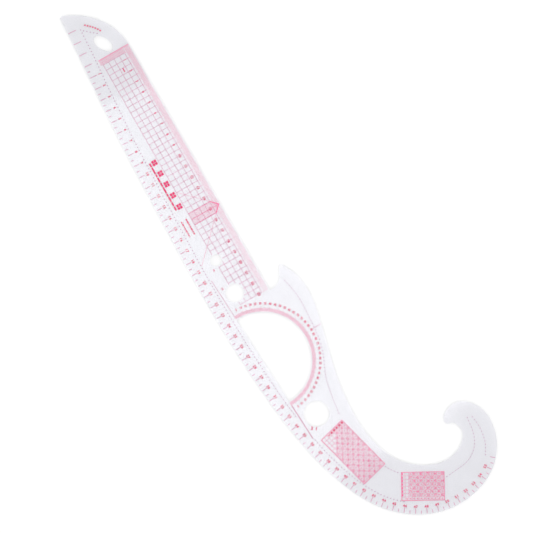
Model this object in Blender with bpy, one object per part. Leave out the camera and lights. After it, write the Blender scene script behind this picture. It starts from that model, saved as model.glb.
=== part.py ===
"""Tailor's french curve: one clear plastic sheet with the marks printed on its upper face.

The sheet lies flat, printed side up, with its straight edge along Y and its head towards +Y.
Every outline is drawn in the drawing frame, whose origin is the zero mark of the straight scale,
at the top of the straight edge. Everything is then moved so that the world origin is under the
middle of the sheet's box. The printed marks are films of ink that lie just above the sheet.
Units are metres, +Z is up.
"""

import math

import bmesh
import bpy
import numpy as np

MM = 0.001

# ---- Sheet ----
SHEET_THICKNESS = 1.2 * MM
SCALE_LENGTH = 230 * MM  # straight scale, zero mark to last centimetre
SCALE_END_MARGIN = 1.6 * MM  # last centimetre to the end of the straight edge
BODY_WIDTH = 50.1 * MM  # straight edge to outer edge, where the body is widest
HEAD_NARROWING = 11.7 * MM  # widest line to the head's corner, across the sheet
HEAD_HEIGHT = 47.4 * MM  # zero mark to the head's corner, along the sheet
HEAD_CORNER_RADIUS = 2.2 * MM
NOTCH_CORNER_RADIUS = 1.0 * MM

# ---- Protractor window: half a disc, its flat side towards the outer edge ----
WINDOW_RADIUS = 39.7 * MM
WINDOW_INSET = 33.5 * MM  # straight edge line to the centre of the window
WINDOW_GAP = 7.7 * MM  # end of the straight edge to the top of the window
WINDOW_TILT = math.radians(3.0)  # flat side, from the straight edge's direction
WINDOW_CORNER_RADIUS = 0.8 * MM

# ---- Holes ----
HANGING_HOLE = (17.6 * MM, 9.4 * MM)  # long and short axis of the oval
HANGING_HOLE_CENTRE = (-18.1 * MM, 10.4 * MM)  # from the zero mark
HANGING_HOLE_ANGLE = math.radians(118)
SMALL_HOLE_RADIUS = 4.8 * MM
MEDIUM_HOLE_RADIUS = 7.5 * MM
LARGE_HOLE_RADIUS = 10.6 * MM
SMALL_HOLE_UP = 41.0 * MM  # end of the scale to the centre of the small hole
MEDIUM_HOLE_UP = 10.4 * MM  # end of the scale to the centre of the medium hole
TWO_HOLES_INSET = 7.3 * MM  # middle of the window's flat side to both centres, across the sheet
LARGE_HOLE_GAP = 9.0 * MM  # bottom of the window to the top of the large hole
LARGE_HOLE_INSET = 16.4 * MM  # middle of the window's flat side to the centre of the large hole

# ---- Ink ----
INK_GAP = 0.02 * MM  # clearance under a film of ink, and between two films
INK_THICKNESS = 0.03 * MM
INK_MARGIN = 0.7 * MM  # bare sheet round a cut edge
THIN_LINE = 0.22 * MM
FINE_LINE = 0.16 * MM
BOLD_LINE = 0.4 * MM

# ---- Straight scale and grid ----
GRID_PITCH = 5 * MM
GRID_COLUMNS = 4
GRID_RIGHT = 6.7 * MM  # straight edge to the first upright line of the grid
SCALE_BAND = 4.4 * MM  # length of the millimetre strokes along the straight edge
ARROW_AT = 150 * MM  # zero mark to the middle of the arrow
ARROW_HALF_WIDTH = 5.3 * MM
ARROW_TIP_INSET = 1.2 * MM
BIAS_LINE_PAST_GRID = 11.8 * MM

# ---- Protractor print ----
PROTRACTOR_BAND = 2.8 * MM
AXIS_MARK_GAP = 7.9 * MM  # window to the start of its ninety degree mark
AXIS_MARK_LENGTH = 8.4 * MM
CENTRE_MARK_LENGTH = 3.6 * MM
UPPER_GUIDE_LENGTH = 38.0 * MM
LOWER_GUIDE_LENGTH = 36.0 * MM

# ---- Tables ----
SIZE_TABLE = (23.4 * MM, 50.0 * MM)
SIZE_TABLE_ANGLE = math.radians(14.8)
SIZE_TABLE_CELLS = (8, 16)
SIZE_TABLE_GAP = 4.0 * MM  # bottom of the large hole to the top of the table
SIZE_TABLE_SHIFT = 10.5 * MM  # centre of the large hole to the centre of the table, across
CURVE_TABLE = (34.8 * MM, 23.0 * MM)
CURVE_TABLE_ANGLE = math.radians(-28.8)
CURVE_TABLE_CELLS = (12, 8)

# ---- Facets of the curves ----
MAX_TURN = math.radians(3.2)
MAX_CHORD = 9 * MM

QUARTER_TURN = math.pi / 2
GRID_LEFT = GRID_RIGHT + GRID_COLUMNS * GRID_PITCH
EDGE_END = SCALE_LENGTH + SCALE_END_MARGIN
WINDOW_CENTRE = np.array((-WINDOW_INSET, -EDGE_END - WINDOW_GAP - WINDOW_RADIUS))
HEAD_CORNER = np.array((HEAD_NARROWING - BODY_WIDTH, HEAD_HEIGHT))
NOTCH_CORNER = np.array((0, -EDGE_END))


def station(x, y):
    """A point given in millimetres."""
    return np.array((x, y)) * MM


def crown(share, y):
    """A station of the head's arc: out towards the head's corner by a share of the way, and up
    from the zero mark."""
    return np.array((share * HEAD_CORNER[0], y * MM))


def body(x, y):
    """A station of the outer edge: in from the widest line, and up from the zero mark by a share
    of the straight edge."""
    return np.array((x * MM - BODY_WIDTH, y * EDGE_END))


def beside_window(x, y):
    """A station of the outer edge, from the widest line and the window's centre."""
    return np.array((x * MM - BODY_WIDTH, y * MM + WINDOW_CENTRE[1]))


def fin(x, y):
    """A station of the fin, from the window's right side and the end of the straight edge."""
    return np.array((WINDOW_CENTRE[0] + WINDOW_RADIUS, -EDGE_END)) + station(x, y)


def rim(x, y):
    """A station right of the window, from its right side and its centre."""
    return WINDOW_CENTRE + (WINDOW_RADIUS, 0) + station(x, y)


def tail(x, y):
    """A station of the tail, from the bottom right corner of the window's box."""
    return WINDOW_CENTRE + (WINDOW_RADIUS, -WINDOW_RADIUS) + station(x, y)


# The long curve, walked from the head's corner down the outer edge, round the hook, back along
# the bay, up the fin and into the notch at the end of the straight edge.
LONG_EDGE = [
    HEAD_CORNER,
    body(9.9, 0.078),
    body(5.7, -0.17),
    body(2.6, -0.45),
    body(0.7, -0.72),
    body(0.2, -0.93),
    beside_window(1.9, 0),
    beside_window(8.1, -61),
    tail(-35.3, -74.3),
    tail(-14.6, -113.1),
    tail(19.6, -137.4),
    tail(54.1, -140.2),
    tail(84.0, -125.4),
    tail(97.0, -99.5),
    tail(93.1, -77.3),
    tail(78.4, -67.6),
    tail(70.0, -69.7),
    tail(64.5, -75.2),
    tail(65.0, -79.3),
    tail(68.7, -80.5),
    tail(72.0, -84.7),
    tail(72.6, -91.5),
    tail(66.4, -99.5),
    tail(50.8, -104.8),
    tail(33.7, -100.2),
    tail(16.2, -85.2),
    tail(6.3, -63.4),
    tail(3.3, -31.9),
    tail(6.3, -1.9),
    rim(12.0, -16.6),
    rim(17.8, 8.3),
    fin(21.1, -19.4),
    fin(19.1, -0.5),
    fin(13.9, 11.4),
    fin(11.7, 13.9),
    fin(9.5, 12.2),
    fin(5.7, 4.9),
    fin(0.3, 0.7),
    NOTCH_CORNER,
]
HEAD_ARC = [
    crown(0, -3.2),
    crown(0.104, 16.7),
    crown(0.247, 26.5),
    crown(0.469, 35.6),
    crown(0.714, 42.4),
    HEAD_CORNER,
]


def smooth_run(stations, start_direction=None, end_direction=None):
    """Points along the cubic spline through the stations. Its curvature is continuous, and an
    end direction, where one is given, is a unit vector."""
    points = np.array(stations)
    count = len(points)
    chords = np.hypot(*np.diff(points, axis=0).T)
    slopes = np.diff(points, axis=0) / chords[:, None]
    matrix = np.zeros((count, count))
    wanted = np.zeros((count, 2))
    for i in range(1, count - 1):
        before, after = chords[i - 1], chords[i]
        matrix[i, i - 1 : i + 2] = after, 2 * (before + after), before
        wanted[i] = 3 * (after * slopes[i - 1] + before * slopes[i])
    for end, inner, slope, direction in (
        (0, 1, slopes[0], start_direction),
        (-1, -2, slopes[-1], end_direction),
    ):
        matrix[end, end] = 2 if direction is None else 1
        matrix[end, inner] = 1 if direction is None else 0
        wanted[end] = 3 * slope if direction is None else direction
    tangents = np.linalg.solve(matrix, wanted)
    run = [points[0]]
    for i, chord in enumerate(chords):
        a, b = tangents[i], tangents[i + 1]
        cosine = a @ b / (np.linalg.norm(a) * np.linalg.norm(b))
        turn = math.acos(max(-1.0, min(1.0, cosine)))
        pieces = max(2, math.ceil(turn / MAX_TURN), math.ceil(chord / MAX_CHORD))
        for t in np.arange(1, pieces + 1) / pieces:
            run.append(
                (2 * t**3 - 3 * t**2 + 1) * points[i]
                + (3 * t**2 - 2 * t**3) * points[i + 1]
                + ((t**3 - 2 * t**2 + t) * a + (t**3 - t**2) * b) * chord
            )
    return np.array(run)


def rounded_corner(before, corner, after, radius):
    """Points of the arc that rounds the corner between two other points."""
    back = (before - corner) / np.linalg.norm(before - corner)
    onward = (after - corner) / np.linalg.norm(after - corner)
    half_angle = math.acos(back @ onward) / 2
    middle = (back + onward) / np.linalg.norm(back + onward)
    centre = corner + middle * radius / math.sin(half_angle)
    reach = radius / math.tan(half_angle)
    start = corner + back * reach - centre
    turn = math.pi - 2 * half_angle
    side = math.copysign(1, back[1] * onward[0] - back[0] * onward[1])
    steps = max(3, math.ceil(turn / (3 * MAX_TURN)))
    angles = side * np.linspace(0, turn, steps + 1)
    c, s = np.cos(angles), np.sin(angles)
    return centre + np.stack([c * start[0] - s * start[1], s * start[0] + c * start[1]], -1)


def joined(first, second, radius):
    """Two runs that meet in a corner, as one run with that corner rounded."""
    corner = second[0]
    first = first[np.linalg.norm(first - corner, axis=1) > 1.5 * radius]
    second = second[np.linalg.norm(second - corner, axis=1) > 1.5 * radius]
    return np.concatenate([first, rounded_corner(first[-1], corner, second[0], radius), second])


def sheet_outline():
    """The sheet's outer edge, as one closed loop."""
    head_arc = smooth_run(HEAD_ARC, start_direction=(0, 1))
    round_head = joined(head_arc, smooth_run(LONG_EDGE), HEAD_CORNER_RADIUS)
    straight_edge = np.array((NOTCH_CORNER, head_arc[0]))
    return joined(round_head, straight_edge, NOTCH_CORNER_RADIUS)[:-1]


def ring(centre, radius, steps=64):
    """A circle, as one closed loop."""
    angles = np.arange(steps) * 2 * math.pi / steps
    return centre + radius * np.stack([np.cos(angles), np.sin(angles)], -1)


def turned(points, angle):
    """The points turned about the origin."""
    c, s = math.cos(angle), math.sin(angle)
    return np.asarray(points) @ np.array(((c, s), (-s, c)))


def oval(centre, axes, angle, steps=64):
    """An ellipse, as one closed loop."""
    return centre + turned(ring(np.zeros(2), 0.5, steps) * axes, angle)


def arc(radius, first, last, steps):
    """Points of an arc about the origin, both ends included."""
    angles = np.linspace(first, last, steps + 1)
    return radius * np.stack([np.cos(angles), np.sin(angles)], -1)


def window_outline():
    """The protractor window: half a disc with its two corners rounded."""
    edge = arc(WINDOW_RADIUS, -QUARTER_TURN, QUARTER_TURN, 60)
    lower = rounded_corner(np.zeros(2), edge[0], edge[1], WINDOW_CORNER_RADIUS)
    upper = rounded_corner(edge[-2], edge[-1], np.zeros(2), WINDOW_CORNER_RADIUS)
    loop = np.concatenate([lower, edge[1:-1], upper])
    return WINDOW_CENTRE + turned(loop, WINDOW_TILT)


SMALL_HOLE = np.array((TWO_HOLES_INSET - WINDOW_INSET, SMALL_HOLE_UP - SCALE_LENGTH))
MEDIUM_HOLE = np.array((TWO_HOLES_INSET - WINDOW_INSET, MEDIUM_HOLE_UP - SCALE_LENGTH))
LARGE_HOLE = WINDOW_CENTRE + (
    LARGE_HOLE_INSET,
    -WINDOW_RADIUS - LARGE_HOLE_GAP - LARGE_HOLE_RADIUS,
)
SHEET_LOOP = sheet_outline()
ORIGIN = (SHEET_LOOP.min(axis=0) + SHEET_LOOP.max(axis=0)) / 2


def clear_scene():
    for item in list(bpy.data.objects):
        bpy.data.objects.remove(item, do_unlink=True)


def material(name, colour, roughness, alpha=1.0, transmission=0.0):
    made = bpy.data.materials.new(name)
    made.use_nodes = True
    shader = made.node_tree.nodes["Principled BSDF"]
    shader.inputs["Base Color"].default_value = (*colour, 1)
    shader.inputs["Roughness"].default_value = roughness
    shader.inputs["Metallic"].default_value = 0
    shader.inputs["Alpha"].default_value = alpha
    shader.inputs["Transmission Weight"].default_value = transmission
    shader.inputs["IOR"].default_value = 1.49
    return made


def finish_prism(mesh_source, name, bottom, thickness, look):
    """Thickens the flat faces in the bmesh upwards and makes the object."""
    bmesh.ops.recalc_face_normals(mesh_source, faces=mesh_source.faces)
    if mesh_source.faces[:][0].normal.z > 0:
        bmesh.ops.reverse_faces(mesh_source, faces=mesh_source.faces)
    raised = bmesh.ops.extrude_face_region(mesh_source, geom=mesh_source.faces[:])
    tops = [item for item in raised["geom"] if isinstance(item, bmesh.types.BMVert)]
    bmesh.ops.translate(mesh_source, verts=tops, vec=(0, 0, thickness))
    bmesh.ops.recalc_face_normals(mesh_source, faces=mesh_source.faces)
    mesh = bpy.data.meshes.new(name)
    mesh_source.to_mesh(mesh)
    mesh_source.free()
    mesh.shade_smooth()
    mesh.set_sharp_from_angle(angle=math.radians(30))
    made = bpy.data.objects.new(name, mesh)
    made.location.z = bottom
    made.data.materials.append(look)
    bpy.context.collection.objects.link(made)
    return made


def plate(name, loops, bottom, thickness, look):
    """A flat plate with the first loop as its outline and the others as its holes."""
    drawing = bmesh.new()
    for loop in loops:
        corners = [drawing.verts.new((*(point - ORIGIN), 0)) for point in loop]
        for i, corner in enumerate(corners):
            drawing.edges.new((corners[i - 1], corner))
    bmesh.ops.triangle_fill(drawing, use_beauty=True, edges=drawing.edges[:])
    return finish_prism(drawing, name, bottom, thickness, look)


def lattice(name, centre, angle, uprights, rows, bottom, look):
    """A net of lines. Each upright and each row is a pair: its place and its line's width."""
    bounds = []
    for lines in (uprights, rows):
        stops = [at + side * width / 2 for at, width in sorted(lines) for side in (-1, 1)]
        bounds.append(stops)
    drawing = bmesh.new()
    corners = {}

    def corner(i, j):
        if (i, j) not in corners:
            flat = centre + turned((bounds[0][i], bounds[1][j]), angle) - ORIGIN
            corners[i, j] = drawing.verts.new((*flat, 0))
        return corners[i, j]

    for i in range(len(bounds[0]) - 1):
        for j in range(len(bounds[1]) - 1):
            if i % 2 == 0 or j % 2 == 0:
                cell = [corner(i, j), corner(i + 1, j), corner(i + 1, j + 1), corner(i, j + 1)]
                drawing.faces.new(cell)
    return finish_prism(drawing, name, bottom, INK_THICKNESS, look)


def stroke(start, end, width):
    """The outline of a straight stroke."""
    along = (end - start) / np.linalg.norm(end - start)
    side = np.array((-along[1], along[0])) * width / 2
    return np.array((start + side, start - side, end - side, end + side))


def cut_rounds(target, rounds):
    """Clears the ink round each hole, given as its centre and its radius."""
    for number, (centre, radius) in enumerate(rounds):
        cutter = plate(
            f"{target.name}_cutter_{number}",
            [ring(centre, radius + INK_MARGIN)],
            0,
            3 * SHEET_THICKNESS,
            target.data.materials[0],
        )
        cutter.hide_render = True
        cutter.display_type = "WIRE"
        cut = target.modifiers.new(f"clear_hole_{number}", "BOOLEAN")
        cut.operation = "DIFFERENCE"
        cut.object = cutter


clear_scene()
clear_plastic = material("clear_acrylic", (0.91, 0.91, 0.94), 0.06, transmission=0.92)
red_ink = material("red_ink", (0.55, 0.02, 0.10), 0.45)
pale_ink = material("tint_ink", (0.86, 0.42, 0.52), 0.45, alpha=0.55)

first_layer = SHEET_THICKNESS + INK_GAP
second_layer = first_layer + INK_THICKNESS + INK_GAP

# ---- The sheet ----
plate(
    "ruler_sheet",
    [
        SHEET_LOOP,
        window_outline(),
        oval(HANGING_HOLE_CENTRE, HANGING_HOLE, HANGING_HOLE_ANGLE),
        ring(SMALL_HOLE, SMALL_HOLE_RADIUS, 48),
        ring(MEDIUM_HOLE, MEDIUM_HOLE_RADIUS),
        ring(LARGE_HOLE, LARGE_HOLE_RADIUS),
    ],
    0,
    SHEET_THICKNESS,
    clear_plastic,
)

# ---- Straight scale, grid and arrow ----
band_right = -INK_MARGIN
band_left = band_right - SCALE_BAND
top_band_bottom = THIN_LINE - GRID_PITCH
plate(
    "straight_scale_band",
    [
        np.array(
            (
                (-GRID_LEFT, 0),
                (-GRID_LEFT, top_band_bottom),
                (band_left, top_band_bottom),
                (band_left, -SCALE_LENGTH),
                (band_right, -SCALE_LENGTH),
                (band_right, 0),
            )
        )
    ],
    first_layer,
    INK_THICKNESS,
    pale_ink,
)
grid_rows = round(SCALE_LENGTH / GRID_PITCH)
grid = lattice(
    "pattern_grid",
    np.zeros(2),
    0,
    [(-GRID_RIGHT - i * GRID_PITCH, THIN_LINE) for i in range(GRID_COLUMNS + 1)],
    [(-row * GRID_PITCH, THIN_LINE) for row in range(1, grid_rows + 1)],
    first_layer,
    red_ink,
)
cut_rounds(grid, [(SMALL_HOLE, SMALL_HOLE_RADIUS), (MEDIUM_HOLE, MEDIUM_HOLE_RADIUS)])

arrow_tip = np.array((-ARROW_TIP_INSET, -ARROW_AT))
bias_inner = GRID_LEFT - ARROW_TIP_INSET
bias_outer = bias_inner + BIAS_LINE_PAST_GRID
line_along_x = BOLD_LINE * math.sqrt(2)  # a 45 degree line's width, measured across the sheet
plate(
    "bias_lines",
    [
        arrow_tip
        + np.array(
            (
                (0, 0),
                (-bias_inner, bias_inner),
                (-bias_inner, bias_inner - line_along_x),
                (-line_along_x, 0),
                (-bias_outer, line_along_x - bias_outer),
                (-bias_outer, -bias_outer),
            )
        )
    ],
    second_layer,
    INK_THICKNESS,
    red_ink,
)
shoulder = ARROW_HALF_WIDTH + line_along_x + INK_GAP
plate(
    "centre_arrow",
    [
        arrow_tip
        + np.array(
            (
                (-line_along_x - INK_GAP, 0),
                (-shoulder, ARROW_HALF_WIDTH),
                (ARROW_TIP_INSET - GRID_LEFT, ARROW_HALF_WIDTH),
                (ARROW_TIP_INSET - GRID_LEFT, -ARROW_HALF_WIDTH),
                (-shoulder, -ARROW_HALF_WIDTH),
            )
        )
    ],
    second_layer,
    INK_THICKNESS,
    pale_ink,
)

# ---- Protractor ----
band_start = WINDOW_RADIUS + INK_MARGIN
band_end = band_start + PROTRACTOR_BAND
outer_side = arc(band_end, -QUARTER_TURN, QUARTER_TURN, 60)
inner_side = arc(band_start, QUARTER_TURN, -QUARTER_TURN, 60)
plate(
    "protractor_band",
    [WINDOW_CENTRE + turned(np.concatenate([outer_side, inner_side]), WINDOW_TILT)],
    first_layer,
    INK_THICKNESS,
    pale_ink,
)


def from_window(x, y):
    """A point given from the window's centre, along and across the protractor's axis."""
    return WINDOW_CENTRE + turned((x, y), WINDOW_TILT)


protractor_strokes = {
    "ninety_degree_mark": (
        from_window(WINDOW_RADIUS + AXIS_MARK_GAP, 0),
        from_window(WINDOW_RADIUS + AXIS_MARK_GAP + AXIS_MARK_LENGTH, 0),
        THIN_LINE,
    ),
    "protractor_centre_mark": (
        from_window(-INK_MARGIN, 0),
        from_window(-INK_MARGIN - CENTRE_MARK_LENGTH, 0),
        THIN_LINE,
    ),
    "upper_guide_line": (
        from_window(0, band_end + INK_GAP),
        from_window(0, WINDOW_RADIUS + UPPER_GUIDE_LENGTH),
        THIN_LINE,
    ),
    "lower_guide_line": (
        from_window(0, -band_end - INK_GAP),
        from_window(0, -WINDOW_RADIUS - LOWER_GUIDE_LENGTH),
        BOLD_LINE,
    ),
}
for stroke_name, (stroke_start, stroke_end, stroke_width) in protractor_strokes.items():
    plate(
        stroke_name,
        [stroke(stroke_start, stroke_end, stroke_width)],
        first_layer,
        INK_THICKNESS,
        red_ink,
    )

# ---- Tables ----
size_table_half_height = turned(np.array(SIZE_TABLE) / 2, SIZE_TABLE_ANGLE)[1]
size_table_centre = LARGE_HOLE + (
    SIZE_TABLE_SHIFT,
    -LARGE_HOLE_RADIUS - SIZE_TABLE_GAP - size_table_half_height,
)
for table_name, size, centre, angle, cells in (
    ("size_table", SIZE_TABLE, size_table_centre, SIZE_TABLE_ANGLE, SIZE_TABLE_CELLS),
    ("curve_table", CURVE_TABLE, tail(22.8, -113.8), CURVE_TABLE_ANGLE, CURVE_TABLE_CELLS),
):
    lines = [
        [
            (length * (i / count - 0.5), BOLD_LINE if i in (0, count) else FINE_LINE)
            for i in range(count + 1)
        ]
        for length, count in zip(size, cells)
    ]
    lattice(
        table_name,
        centre,
        angle,
        lines[0],
        lines[1],
        first_layer,
        red_ink,
    )
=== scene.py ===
import itertools
import math

import bmesh
import bpy
import numpy as np
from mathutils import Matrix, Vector

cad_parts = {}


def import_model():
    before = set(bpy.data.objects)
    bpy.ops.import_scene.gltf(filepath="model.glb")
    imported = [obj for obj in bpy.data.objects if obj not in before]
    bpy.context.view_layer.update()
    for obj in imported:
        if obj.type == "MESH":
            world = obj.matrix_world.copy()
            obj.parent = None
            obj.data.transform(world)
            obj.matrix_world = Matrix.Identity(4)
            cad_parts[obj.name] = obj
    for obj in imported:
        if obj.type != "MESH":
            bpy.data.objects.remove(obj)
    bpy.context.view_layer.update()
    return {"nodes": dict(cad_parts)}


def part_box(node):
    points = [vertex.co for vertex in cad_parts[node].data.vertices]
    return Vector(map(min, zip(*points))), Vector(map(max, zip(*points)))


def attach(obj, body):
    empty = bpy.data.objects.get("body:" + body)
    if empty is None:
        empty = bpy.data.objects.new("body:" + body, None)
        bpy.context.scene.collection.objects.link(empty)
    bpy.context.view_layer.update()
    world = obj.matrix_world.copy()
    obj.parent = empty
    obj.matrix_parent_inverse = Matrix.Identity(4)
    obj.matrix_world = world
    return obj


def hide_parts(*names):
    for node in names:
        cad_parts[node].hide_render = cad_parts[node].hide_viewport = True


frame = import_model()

MM = 0.001

# ---- Places that the CAD gives ----
INK_MARGIN = 0.7  # bare sheet round a cut edge, mm
BAND_RADIUS = 43.2  # outside of the protractor's band, mm
WINDOW_RADIUS = 39.7  # the protractor's half-disc window, mm
TILT = math.radians(3.0)  # the protractor's turn from the straight edge


def box_of(node):
    """That node's lowest and highest corners, in mm."""
    return [np.array(corner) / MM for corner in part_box(node)]


band_low, band_high = box_of("straight_scale_band")
ring_high = box_of("protractor_band")[1]
TOP = box_of("ruler_sheet")[1][2]
ZERO = np.array((band_high[0] + INK_MARGIN, band_high[1]))
GRID_LEFT = ZERO[0] - band_low[0]
SCALE_LENGTH = ZERO[1] - band_low[1]
WINDOW = np.array((ring_high[0] - BAND_RADIUS, ring_high[1] - BAND_RADIUS)) - ZERO

# ---- Heights of the printed layers above the underside, mm ----
PRINT_UNDER = TOP + 0.008
PRINT_OVER = TOP + 0.115
HATCH_HEIGHT = PRINT_OVER - 0.045
BIAS_HEIGHT = PRINT_OVER - 0.0225
INK_FILM = 0.02


def world(points, z=0.0):
    """Points of the drawing frame, in mm from the zero mark, as world positions in metres."""
    flat = (np.atleast_2d(points) + ZERO) * MM
    return np.column_stack([flat, np.full(len(flat), z * MM)])


def turned(points, angle):
    """Points turned about (0, 0)."""
    c, s = math.cos(angle), math.sin(angle)
    return np.atleast_2d(points) @ np.array(((c, s), (-s, c)))


# ---- Loops of the sheet, read from its CAD solid ----
def sheet_loops():
    """The sheet's outline, then its holes, as ordered loops in the drawing frame."""
    mesh = frame["nodes"]["ruler_sheet"].data
    points = np.array([v.co for v in mesh.vertices]) / MM
    keys = [tuple(np.round(p, 3)) for p in points]
    used = {}  # a dict, because it keeps its order
    for polygon in mesh.polygons:
        if polygon.normal.z < 0.9:
            continue
        ring = [keys[i] for i in polygon.vertices]
        for a, b in zip(ring, ring[1:] + ring[:1]):
            used[a, b] = True
    following = {a: b for a, b in used if (b, a) not in used}
    loops = []
    while following:
        start, current = following.popitem()
        loop = [start]
        while current != start:
            loop.append(current)
            current = following.pop(current)
        loops.append(np.array(loop)[:, :2] - ZERO)
    return sorted(loops, key=lambda loop: -np.ptp(loop[:, 1]))


LOOPS = sheet_loops()
OUTLINE = LOOPS[0]


# ---- Materials ----
def shader_of(name):
    """A new material, its nodes and links, and its Principled shader."""
    made = bpy.data.materials.new(name)
    made.use_nodes = True
    nodes, links = made.node_tree.nodes, made.node_tree.links
    return made, nodes, links, nodes["Principled BSDF"]


def clear_plastic():
    """Polished clear plastic with a faint haze, which lets the lamp's light through to the floor."""
    made, nodes, links, shader = shader_of("clear_acrylic")
    shader.inputs["IOR"].default_value = 1.49
    shader.inputs["Transmission Weight"].default_value = 1.0
    shader.inputs["Base Color"].default_value = (0.874, 0.877, 0.898, 1)
    where = nodes.new("ShaderNodeTexCoord")
    haze = nodes.new("ShaderNodeTexNoise")
    haze.inputs["Scale"].default_value = 160
    haze.inputs["Detail"].default_value = 6
    links.new(where.outputs["Object"], haze.inputs["Vector"])
    rough = nodes.new("ShaderNodeMapRange")
    rough.inputs["To Min"].default_value = 0.02
    rough.inputs["To Max"].default_value = 0.07
    links.new(haze.outputs["Fac"], rough.inputs["Value"])
    links.new(rough.outputs["Result"], shader.inputs["Roughness"])
    through = nodes.new("ShaderNodeBsdfTransparent")
    through.inputs["Color"].default_value = (0.965, 0.955, 0.975, 1)
    path = nodes.new("ShaderNodeLightPath")
    mix = nodes.new("ShaderNodeMixShader")
    links.new(path.outputs["Is Shadow Ray"], mix.inputs["Fac"])
    links.new(shader.outputs["BSDF"], mix.inputs[1])
    links.new(through.outputs["BSDF"], mix.inputs[2])
    links.new(mix.outputs["Shader"], nodes["Material Output"].inputs["Surface"])
    return made


def ink(name, colour, deep):
    """Screen-printed ink: its density varies a little, and its skin is faintly grained."""
    made, nodes, links, shader = shader_of(name)
    shader.inputs["Roughness"].default_value = 0.42
    shader.inputs["IOR"].default_value = 1.45
    where = nodes.new("ShaderNodeTexCoord")
    density = nodes.new("ShaderNodeTexNoise")
    density.inputs["Scale"].default_value = 700
    density.inputs["Detail"].default_value = 4
    links.new(where.outputs["Object"], density.inputs["Vector"])
    ramp = nodes.new("ShaderNodeValToRGB")
    ramp.color_ramp.elements[0].position = 0.35
    ramp.color_ramp.elements[0].color = (*deep, 1)
    ramp.color_ramp.elements[1].position = 0.65
    ramp.color_ramp.elements[1].color = (*colour, 1)
    links.new(density.outputs["Fac"], ramp.inputs["Fac"])
    links.new(ramp.outputs["Color"], shader.inputs["Base Color"])
    grain = nodes.new("ShaderNodeTexNoise")
    grain.inputs["Scale"].default_value = 5000
    links.new(where.outputs["Object"], grain.inputs["Vector"])
    bump = nodes.new("ShaderNodeBump")
    bump.inputs["Strength"].default_value = 0.15
    bump.inputs["Distance"].default_value = 0.00001
    links.new(grain.outputs["Fac"], bump.inputs["Height"])
    links.new(bump.outputs["Normal"], shader.inputs["Normal"])
    return made


CLEAR = clear_plastic()
RED = ink("red_ink", (1.0, 0.155, 0.39), (0.95, 0.105, 0.32))
LINE_RED = ink("line_ink", (0.70, 0.11, 0.34), (0.62, 0.08, 0.29))
SEAM_MAUVE = ink("seam_ink", (0.50, 0.17, 0.37), (0.44, 0.13, 0.32))
DEEP_RED = ink("deep_ink", (0.84, 0.06, 0.2), (0.76, 0.045, 0.16))


# ---- Meshes ----
class Print:
    """Flat shapes gathered into one piece of ink."""

    def __init__(self, name, height, look=RED, slot="red_ink"):
        self.name, self.height, self.look, self.slot = name, height, look, slot
        self.points, self.faces, self.count = [], [], 0

    def solid(self, points, faces):
        """One more closed solid of this piece."""
        self.points.append(points)
        self.faces += [tuple(i + self.count for i in face) for face in faces]
        self.count += len(points)

    def polygon(self, corners):
        """A polygon whose second corner points outwards, as a thin prism."""
        corners = np.atleast_2d(corners)
        (x0, y0), (x1, y1), (x2, y2) = corners[:3]
        if (x1 - x0) * (y2 - y1) - (y1 - y0) * (x2 - x1) < 0:
            corners = corners[::-1]
        n = len(corners)
        low = np.column_stack([corners, np.full(n, self.height)])
        high = low + (0, 0, INK_FILM)
        sides = [(i, (i + 1) % n, (i + 1) % n + n, i + n) for i in range(n)]
        caps = [tuple(range(n - 1, -1, -1)), tuple(range(n, 2 * n))]
        self.solid(np.concatenate([low, high]), sides + caps)

    def stroke(self, start, end, width):
        """A straight line of ink with square ends."""
        start, end = np.asarray(start, float), np.asarray(end, float)
        along = (end - start) / np.linalg.norm(end - start)
        side = np.array((-along[1], along[0])) * width / 2
        self.polygon([start + side, start - side, end - side, end + side])

    def dot(self, centre, radius, sides):
        angles = np.arange(sides) * 2 * math.pi / sides
        self.polygon(np.asarray(centre) + radius * np.stack([np.cos(angles), np.sin(angles)], -1))

    def text(self, digits, centre, angle, height, spread=0.78, narrow=1.0):
        """Digits of that height, their line running at the angle, centred on the point."""
        for i, digit in enumerate(digits):
            points, faces = GLYPHS[digit]
            placed = points[:, :2] * (narrow, 1) + ((i - (len(digits) - 1) / 2) * spread, 0)
            flat = turned(placed * height, angle) + centre
            z = self.height + np.where(points[:, 2] > 0, INK_FILM, 0)
            self.solid(np.column_stack([flat, z]), faces)

    def make(self):
        """The piece itself, riding on the object's one body."""
        flat = np.concatenate(self.points)
        mesh = bpy.data.meshes.new(self.name)
        mesh.from_pydata((flat + (*ZERO, 0)) * MM, [], self.faces)
        made = bpy.data.objects.new(self.name, mesh)
        made.data.materials.append(self.look)
        bpy.context.collection.objects.link(made)
        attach(made, "root")
        return made


def glyph_shapes():
    """Each digit as a closed prism one unit high, centred, from Blender's own font."""
    shapes = {}
    for digit in "0123456789":
        curve = bpy.data.curves.new("digit", "FONT")
        curve.body = digit
        curve.resolution_u = 2
        curve.extrude = 0.1
        curve.offset = 0.025
        holder = bpy.data.objects.new("digit", curve)
        bpy.context.collection.objects.link(holder)
        graph = bpy.context.evaluated_depsgraph_get()
        mesh = bpy.data.meshes.new_from_object(holder.evaluated_get(graph))
        shape = bmesh.new()
        shape.from_mesh(mesh)
        bmesh.ops.remove_doubles(shape, verts=shape.verts, dist=1e-5)
        bmesh.ops.recalc_face_normals(shape, faces=shape.faces)
        points = np.array([v.co for v in shape.verts])
        shape.verts.index_update()
        faces = [tuple(v.index for v in face.verts) for face in shape.faces]
        shape.free()
        bpy.data.objects.remove(holder, do_unlink=True)
        bpy.data.curves.remove(curve)
        bpy.data.meshes.remove(mesh)
        low, high = points.min(axis=0), points.max(axis=0)
        points[:, :2] -= (low[:2] + high[:2]) / 2
        points[:, :2] /= high[1] - low[1]
        shapes[digit] = points, faces
    return shapes


GLYPHS = glyph_shapes()


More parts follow.
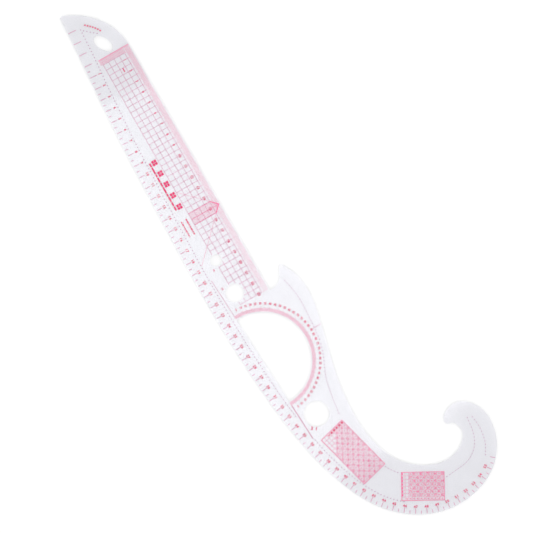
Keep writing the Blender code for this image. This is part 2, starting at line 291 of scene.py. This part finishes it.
def sheet_piece():
    """The sheet again, with its cut edges eased by a fine chamfer."""
    chamfer = 0.12
    shape = bmesh.new()
    caps = {0: [], 3: []}
    for loop in LOOPS:
        ahead, behind = np.roll(loop, -1, axis=0), np.roll(loop, 1, axis=0)
        along = (ahead - loop) / np.linalg.norm(ahead - loop, axis=1)[:, None]
        back = (loop - behind) / np.linalg.norm(loop - behind, axis=1)[:, None]
        inward = np.column_stack([-(along + back)[:, 1], (along + back)[:, 0]])
        inward /= np.linalg.norm(inward, axis=1)[:, None]
        inward /= (inward * np.column_stack([-along[:, 1], along[:, 0]])).sum(axis=1)[:, None]
        inset = loop + inward * chamfer
        rings = [
            [shape.verts.new(co) for co in world(ring, z)]
            for ring, z in ((inset, 0), (loop, chamfer), (loop, TOP - chamfer), (inset, TOP))
        ]
        for low, high in zip(rings, rings[1:]):
            for i in range(len(loop)):
                shape.faces.new((low[i - 1], low[i], high[i], high[i - 1]))
        for level in caps:
            caps[level] += [
                shape.edges.get((rings[level][i - 1], rings[level][i])) for i in range(len(loop))
            ]
    for edges in caps.values():
        bmesh.ops.triangle_fill(shape, use_beauty=True, edges=edges)
    bmesh.ops.recalc_face_normals(shape, faces=shape.faces)
    mesh = bpy.data.meshes.new("clear_sheet")
    shape.to_mesh(mesh)
    shape.free()
    mesh.shade_smooth()
    mesh.set_sharp_from_angle(angle=math.radians(30))
    made = bpy.data.objects.new("clear_sheet", mesh)
    made.data.materials.append(CLEAR)
    bpy.context.collection.objects.link(made)
    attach(made, "root")
    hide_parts("ruler_sheet")


# ---- Stations along the outer edge ----
def lengths_along(points):
    """Each point's distance from the first, along the line through them."""
    return np.concatenate([[0], np.cumsum(np.linalg.norm(np.diff(points, axis=0), axis=1))])


class Edge:
    """The outer edge from the head's corner round to the hook, by its length in mm."""

    def __init__(self):
        top = int(np.argmax(OUTLINE[:, 1]))
        self.points = np.roll(OUTLINE, -top, axis=0)
        self.length = lengths_along(self.points)

    def point(self, length):
        """The point that far along the edge."""
        return np.array([np.interp(length, self.length, self.points[:, k]) for k in (0, 1)])

    def frame(self, length):
        """The point there, the direction onwards and the direction into the sheet."""
        step = self.point(length + 2) - self.point(length - 2)
        along = step / np.linalg.norm(step)
        return self.point(length), along, np.array((-along[1], along[0]))


EDGE = Edge()
ZERO_HEIGHT = 251  # of the zero mark above the line that heights are given from, mm


def place(x, height):
    """A point given by its x from the straight edge and its height above the base line, in mm."""
    return np.array((x, height - ZERO_HEIGHT), float)


def places(*given):
    """Several such points."""
    return [place(x, height) for x, height in given]


sheet_piece()

# ---- Outer scale: centimetre and half-centimetre ticks, numbered 1 to 55 ----
LAST_NUMBER = 55
FIRST_MARK = -3  # four marks near the head come before the first number
STATIONS = (FIRST_MARK, 24, 36, 45, LAST_NUMBER, 56)
STATION_LENGTHS = (16.6, 288.7, 408.2, 495.6, 591.6, 601.4)
TICK_WIDTH = 0.32
HEAD_TICK = 7.2
HALF_TICK = 3.2


def along_edge(number):
    """Length along the outer edge to that centimetre mark."""
    return float(np.interp(number, STATIONS, STATION_LENGTHS))


def tick_length(number):
    """A centimetre tick's reach from the edge: the first ones are the longest."""
    return float(np.interp(number, (1, 3, 40, 44), (7.0, 5.3, 5.3, 4.9)))


def numeral_inset(number):
    """A numeral's distance from the edge, greatest near the head."""
    return float(np.interp(number, (1, 3, 9, 16, 24, 56), (9.4, 8.5, 8.0, 7.0, 6.5, 6.3)))


ticks = Print("outer_scale_ticks", PRINT_UNDER, LINE_RED)
for number in range(FIRST_MARK, 1):
    point, _, inward = EDGE.frame(along_edge(number))
    ticks.stroke(point + INK_MARGIN * inward, point + HEAD_TICK * inward, TICK_WIDTH)
for half in range(1, 2 * LAST_NUMBER + 3):
    point, _, inward = EDGE.frame(along_edge(half / 2))
    reach = HALF_TICK if half % 2 else tick_length(half / 2)
    ticks.stroke(point + INK_MARGIN * inward, point + reach * inward, TICK_WIDTH)
ticks.make()

numerals = Print("outer_scale_numerals", PRINT_UNDER, DEEP_RED)
for number in range(1, LAST_NUMBER + 1):
    point, along, inward = EDGE.frame(along_edge(number))
    centre = point + numeral_inset(number) * inward
    numerals.text(str(number), centre, math.atan2(along[1], along[0]), 2.25)
numerals.make()

# ---- Straight scale: millimetre strokes, top band and its numerals ----
FIFTH_STROKE = 6.6
SHORT_STROKE = 5.1
TOP_BAND_LENGTH = 28.5
TOP_BAND_DEPTH = 4.7
NUMERALS_X = -9.3

strokes = Print("straight_scale_strokes", PRINT_UNDER, slot="tint_ink")
for mm in range(1, round(SCALE_LENGTH) + 1):
    reach = SHORT_STROKE if mm % 5 else FIFTH_STROKE
    width = 0.2 - 0.08 * mm / SCALE_LENGTH
    strokes.stroke((-reach, -mm), (-INK_MARGIN, -mm), width)
for mm in range(5, 28):
    x = -INK_MARGIN - 0.5 - mm
    strokes.stroke((x, -0.5), (x, -TOP_BAND_DEPTH), 0.22)
strokes.stroke((-TOP_BAND_LENGTH, -0.2), (-INK_MARGIN, -0.2), 0.4)
made = strokes.make()
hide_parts("straight_scale_band")

numerals = Print("straight_scale_numerals", PRINT_OVER, DEEP_RED)
for number in range(1, 24):
    numerals.text(str(number), (NUMERALS_X, -10 * number), -math.pi / 2, 2.2)
numerals.make()

# ---- Arrow and the bias lines ----
TIP = place(-1.2, 101)
ARROW_HALF = 5.3  # half the arrow's width
HEAD_HALF = ARROW_HALF + 0.11  # the chevron covers the arrow's edges
FRONT, BACK = 0.4, -0.45  # the chevron's outer and inner corner, from the arrow's tip
BIAS_END = {1: GRID_LEFT - 1.2, -1: GRID_LEFT + 10.6}  # the upper bias line is the shorter one

arrow = Print("arrow_hatching", HATCH_HEIGHT, slot="tint_ink")
for line in range(-6, 7):
    y = line * ARROW_HALF / 6.5
    arrow.stroke((-GRID_LEFT, TIP[1] + y), (TIP[0] - abs(y) - 0.5, TIP[1] + y), 0.12)
made = arrow.make()
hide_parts("centre_arrow")

lines = Print("bias_lines_print", BIAS_HEIGHT)
chevron = [(FRONT, 0), (FRONT - HEAD_HALF, HEAD_HALF), (BACK - HEAD_HALF, HEAD_HALF), (BACK, 0)]
chevron += [(BACK - HEAD_HALF, -HEAD_HALF), (FRONT - HEAD_HALF, -HEAD_HALF)]
lines.polygon(TIP + np.array(chevron))
for side in (-1, 1):
    edge = TIP[1] + side * ARROW_HALF
    lines.stroke((TIP[0] - HEAD_HALF - 0.5, edge), (-GRID_LEFT, edge), 0.22)
    start, end = ARROW_HALF + 0.35, BIAS_END[side]
    lines.stroke(TIP + (-start, side * start), TIP + (-end, side * end), 0.16)
lines.stroke((-GRID_LEFT, TIP[1] - 0.2), (TIP[0] - 1, TIP[1] - 0.2), 0.24)
made = lines.make()
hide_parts("bias_lines")

# ---- Protractor: a stroke for each degree and a numeral for each five ----
NUMERAL_RADIUS = 46.9

degrees = Print("protractor_strokes", PRINT_UNDER, slot="tint_ink")
numerals = Print("protractor_numerals", PRINT_UNDER, DEEP_RED)
for degree in range(181):
    angle = math.pi / 2 - math.radians(degree) + TILT
    out = np.array((math.cos(angle), math.sin(angle)))
    proud = 0.9 if degree % 10 == 0 else 0.5 if degree % 5 == 0 else 0
    reach = BAND_RADIUS + proud
    degrees.stroke(WINDOW + out * (WINDOW_RADIUS + INK_MARGIN), WINDOW + out * reach, 0.2)
    if degree % 5 == 0 and 0 < degree < 180:
        number = str(min(degree, 180 - degree))
        centre = WINDOW + out * NUMERAL_RADIUS
        numerals.text(number, centre, angle - math.pi / 2, 2.0, 0.56, 0.8)
made = degrees.make()
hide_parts("protractor_band")
numerals.make()


# ---- Dotted seam lines ----
def spline(before, start, end, after, t):
    """A Catmull-Rom curve's point, at t from 0 at the start to 1 at the end."""
    square = 2 * before - 5 * start + 4 * end - after
    cube = 3 * start - before - 3 * end + after
    return 0.5 * (2 * start + (end - before) * t + square * t**2 + cube * t**3)


def smooth_path(points, step):
    """Points every step mm along a smooth curve through the given ones."""
    points = np.asarray(points, float)
    padded = np.concatenate([[2 * points[0] - points[1]], points, [2 * points[-1] - points[-2]]])
    run = []
    for before, start, end, after in zip(padded, padded[1:], padded[2:], padded[3:]):
        run += [spline(before, start, end, after, t) for t in np.linspace(0, 1, 24, endpoint=False)]
    run = np.array([*run, points[-1]])
    length = lengths_along(run)
    stops = np.arange(0, length[-1], step)
    return np.column_stack([np.interp(stops, length, run[:, k]) for k in (0, 1)])


DOT_PITCH = 2.8
DOT_RADIUS = 0.4


def outer_seam():
    """From the head down beside the grid, then round the tail at a seam's width from the edge."""
    route = places((-28.5, 280), (-30, 255), (-32, 232), (-33.3, 212), (-34.6, 194))
    for length in np.arange(115, 506, 6.0):
        point, _, inward = EDGE.frame(length)
        inset = float(np.interp(length, (18, 330, 430, 506), (10.6, 10.8, 10.0, 9.6)))
        route.append(point + inset * inward)
    return route


HEAD_SEAM = places((-26.8, 278.2), (-25, 276.6), (-21, 273.2), (-16.5, 269.5))
FIN_SEAM = places((14.5, 20), (17, 8), (17.6, 0), (17.2, -12), (16.2, -27), (15.2, -36.5))
NECK_SEAM = places(
    (14.4, -39.5), (13, -44.8), (9.8, -52.6), (6.2, -60.4), (3.3, -69), (0.6, -84), (-1.2, -98)
)
SEAM_BETWEEN_TABLES = places((10.2, -152.5), (13, -157), (17, -162))
HOOK_INNER_SEAM = places(
    (50, -184.4), (60, -183.5), (70, -182), (77, -178.5), (83, -172), (86.5, -163), (88.3, -150)
)
HOOK_OUTER_SEAM = places((86, -184.5), (90.3, -177), (92.6, -168), (93, -160), (91.8, -151))
SEAMS = (
    outer_seam(),
    HEAD_SEAM,
    FIN_SEAM,
    NECK_SEAM,
    SEAM_BETWEEN_TABLES,
    HOOK_INNER_SEAM,
    HOOK_OUTER_SEAM,
)

# The guide line takes the place of the dots that would run over it.
guide_low, guide_high = (corner[:2] - ZERO for corner in box_of("lower_guide_line"))
kept_clear = guide_low - 1.3, guide_high + (1.3, 4)

seams = Print("seam_dots", PRINT_UNDER, SEAM_MAUVE)
for path in SEAMS:
    for centre in smooth_path(path, DOT_PITCH):
        over_guide = (kept_clear[0] < centre) & (centre < kept_clear[1])
        if not over_guide.all():
            seams.dot(centre, DOT_RADIUS, 8)
seams.make()

# ---- Marks where the real one has lettering: plain squares and bars ----
PANE_WIDTH, PANE_HEIGHT = 1.9, 2.05
BAR_GAP = 0.6

marks = Print("plain_marks", PRINT_OVER, DEEP_RED)
for height in (156, 146, 136, 125.5, 115):
    for across, up in ((-1, -1), (-1, 1), (1, -1), (1, 1)):
        centre = place(-30.1 + 1.1 * across, height + up * 1.2)
        half = np.array((PANE_WIDTH / 2, 0))
        marks.stroke(centre - half, centre + half, PANE_HEIGHT)


def bars(start, end, width, lengths):
    """A broken line of bars between two points, by the lengths of its bars in turn."""
    whole = np.linalg.norm(end - start)
    along = (end - start) / whole
    reached, turn = 0.0, itertools.cycle(lengths)
    while reached < whole:
        stop = min(reached + next(turn), whole)
        marks.stroke(start + along * reached, start + along * stop, width)
        reached = stop + BAR_GAP


bars(place(-33.9, 157.5), place(-33.9, 113.5), 1.25, (3.4, 5.6, 2.4, 4.4))
bars(place(-30.6, 103.6), place(-30.6, 89.2), 1.1, (1.5, 2.2, 1.0))
bars(place(-35.0, 103.2), place(-35.0, 89.2), 1.0, (1.3, 1.9, 0.8))
head_marks = smooth_path(places((-24, 282), (-18, 276.2), (-13, 268.8)), 2.2)
for start, end in zip(head_marks, head_marks[1:]):
    marks.stroke(start, start + (end - start) * 0.55, 1.2)
marks.stroke(place(-14.2, 235.8), place(-14.2, 232.4), 0.8)
marks.make()

labels = Print("hole_labels", PRINT_OVER, DEEP_RED)
labels.text("10", place(-31.6, 56), -math.pi / 2, 1.5)
labels.text("15", place(-33.0, 39.4), -math.pi / 2, 1.6)
labels.text("21", place(-24.6, -96.6), -math.pi / 5, 2.6, 1.4)
labels.make()


# ---- Tables: a number for each cell, with large and small ones in turn ----
class Table:
    """The cells of a table that is turned about its centre, as the CAD piece has them."""

    def __init__(self, node, angle, size, cells):
        low, high = (corner[:2] for corner in box_of(node))
        self.centre, self.angle = (low + high) / 2 - ZERO, math.radians(angle)
        self.size, self.cells = np.array(size), np.array(cells)
        self.ink = Print(node + "_numbers", PRINT_OVER)

    def cell(self, column, row):
        """A point counted in cells from the table's top left corner."""
        off = (np.array((column, self.cells[1] - row)) / self.cells - 0.5) * self.size
        return self.centre + turned([off], self.angle)[0]

    def number(self, column, row, height):
        """A made-up number of two digits in the middle of that cell."""
        column, row = column + 0.5, row + 0.5
        value = str(10 + int(37 * column + 59 * row + 7 * row * column) % 90)
        self.ink.text(value, self.cell(column, row), self.angle, height, 0.52, 0.76)


sizes = Table("size_table", 14.8, (23.4, 50), (8, 16))
for column in range(8):
    for row in range(1, 16):
        if column + row > 4:  # the top left corner is blank
            sizes.number(column, row, 2.0 if (column + row) % 2 else 1.1)
sizes.ink.make()

heads = Print("size_table_heads", PRINT_OVER, DEEP_RED)
for column in range(2, 8):
    start, end = sizes.cell(column + 0.22, 0.5), sizes.cell(column + 0.78, 0.5)
    heads.stroke(start, end, 1.7 if column > 2 else 0.9)
heads.make()

curves = Table("curve_table", -28.8, (34.8, 23), (12, 8))
for column in range(2, 12):
    for row in range(7):
        curves.number(column, row, 2.1 if (column + row) % 2 else 1.25)
for column in range(1, 12):
    curves.number(column, 7, 1.3)
for row in range(7):
    curves.ink.stroke(curves.cell(0.27, row + 0.2), curves.cell(0.27, row + 0.75), 0.9)
curves.ink.make()

# ---- Ink on the CAD's own nodes ----
for name, node in frame["nodes"].items():
    node.data.materials.clear()
    node.data.materials.append(RED if name.endswith("_table") else LINE_RED)

# ---- Stage ----
MIDDLE = (7.25, -213.69)  # the middle of the view, in mm from the zero mark
FLOOR_REACH = 3
FLOOR_LEVEL = -0.0004  # just under the sheet, so that the two don't share a plane

floor_mesh = bpy.data.meshes.new("floor")
corners = [
    (x * FLOOR_REACH, y * FLOOR_REACH, FLOOR_LEVEL) for x, y in ((-1, -1), (1, -1), (1, 1), (-1, 1))
]
floor_mesh.from_pydata(corners, [], [(0, 1, 2, 3)])
floor = bpy.data.objects.new("floor", floor_mesh)
bpy.context.collection.objects.link(floor)
floor_look, _, _, floor_shader = shader_of("floor")
floor_shader.inputs["Base Color"].default_value = (0.95, 0.95, 0.95, 1)
floor_shader.inputs["Roughness"].default_value = 0.9
floor_shader.inputs["Specular IOR Level"].default_value = 0.0
floor.data.materials.append(floor_look)

surroundings = bpy.data.worlds.new("studio")
surroundings.use_nodes = True
background = surroundings.node_tree.nodes["Background"]
background.inputs["Color"].default_value = (1, 1, 1, 1)
background.inputs["Strength"].default_value = 0.95
bpy.context.scene.world = surroundings
bpy.context.scene.view_settings.view_transform = "Standard"

LAMP_HEIGHT = 1.0
lamp = bpy.data.lights.new("softbox", "AREA")
lamp.energy = 2.15
lamp.size = 0.5
softbox = bpy.data.objects.new("softbox", lamp)
softbox.location = Vector(world(MIDDLE)[0]) + Vector((0, 0, LAMP_HEIGHT))
softbox.visible_glossy = False
bpy.context.collection.objects.link(softbox)

# ---- Camera: straight down, as far off as a long lens needs ----
CAMERA_DISTANCE = 2.5
VIEW_WIDTH = 0.4349
VIEW_TURN = math.radians(-29.78)
view = bpy.data.cameras.new("camera")
view.lens = view.sensor_width * CAMERA_DISTANCE / VIEW_WIDTH
camera = bpy.data.objects.new("camera", view)
camera.location = Vector(world(MIDDLE)[0]) + Vector((0, 0, CAMERA_DISTANCE))
camera.rotation_euler = (0, 0, VIEW_TURN)
bpy.context.collection.objects.link(camera)
bpy.context.scene.camera = camera
